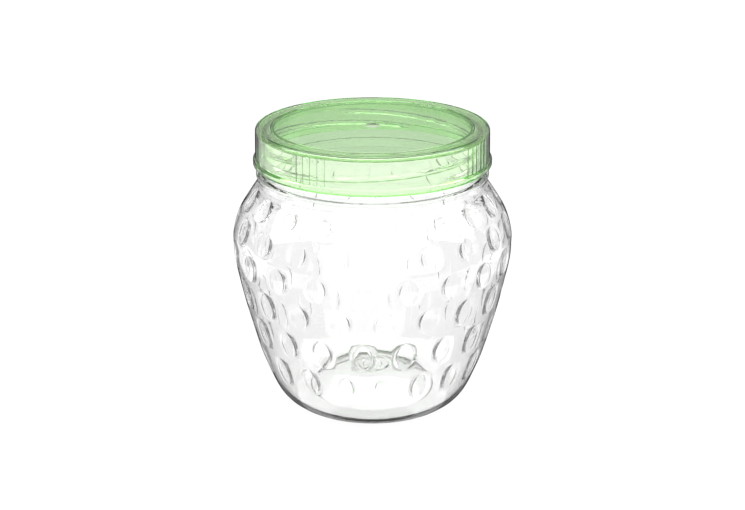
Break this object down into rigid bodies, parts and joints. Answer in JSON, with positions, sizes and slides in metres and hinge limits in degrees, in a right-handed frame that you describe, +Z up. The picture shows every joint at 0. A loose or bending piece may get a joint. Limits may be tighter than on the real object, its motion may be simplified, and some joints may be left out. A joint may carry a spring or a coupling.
{
  "type": "storage jar with screw lid",
  "caption": "Clear rounded plastic storage jar with staggered almond-shaped dents, a wide threaded neck and a translucent green screw lid over a flat sealing ring.",
  "frame": {"origin": "on the floor, at the centre of the flat ring that the jar stands on", "axes": "+Z up along the jar's axis, -Y towards the front as pictured, +X to the right"},
  "size_m": [0.122, 0.122, 0.1242],
  "materials": {
    "jar_clear": "clear blow-moulded PET, high gloss",
    "lid_green": "translucent green moulded polypropylene, gloss",
    "seal_clear": "translucent soft elastomer, satin"
  },
  "bodies": {
    "jar": {"jar_body": "jar_clear"},
    "seal": {"sealing_ring": "seal_clear"},
    "lid": {"lid": "lid_green"}
  },
  "joints": [
    {"name": "lid_lift", "type": "slide", "parent": "jar", "child": "seal", "axis": [0, 0, 1], "range_m": [0, 0.02]},
    {"name": "lid_turn", "type": "hinge", "parent": "seal", "child": "lid", "pos_m": [0, 0, 0.1162], "axis": [0, 0, 1], "range_deg": [0, 450]}
  ],
  "couplings": [
    {"joint": "lid_lift", "follows": "lid_turn", "m_per_rad": 0.0025465}
  ]
}
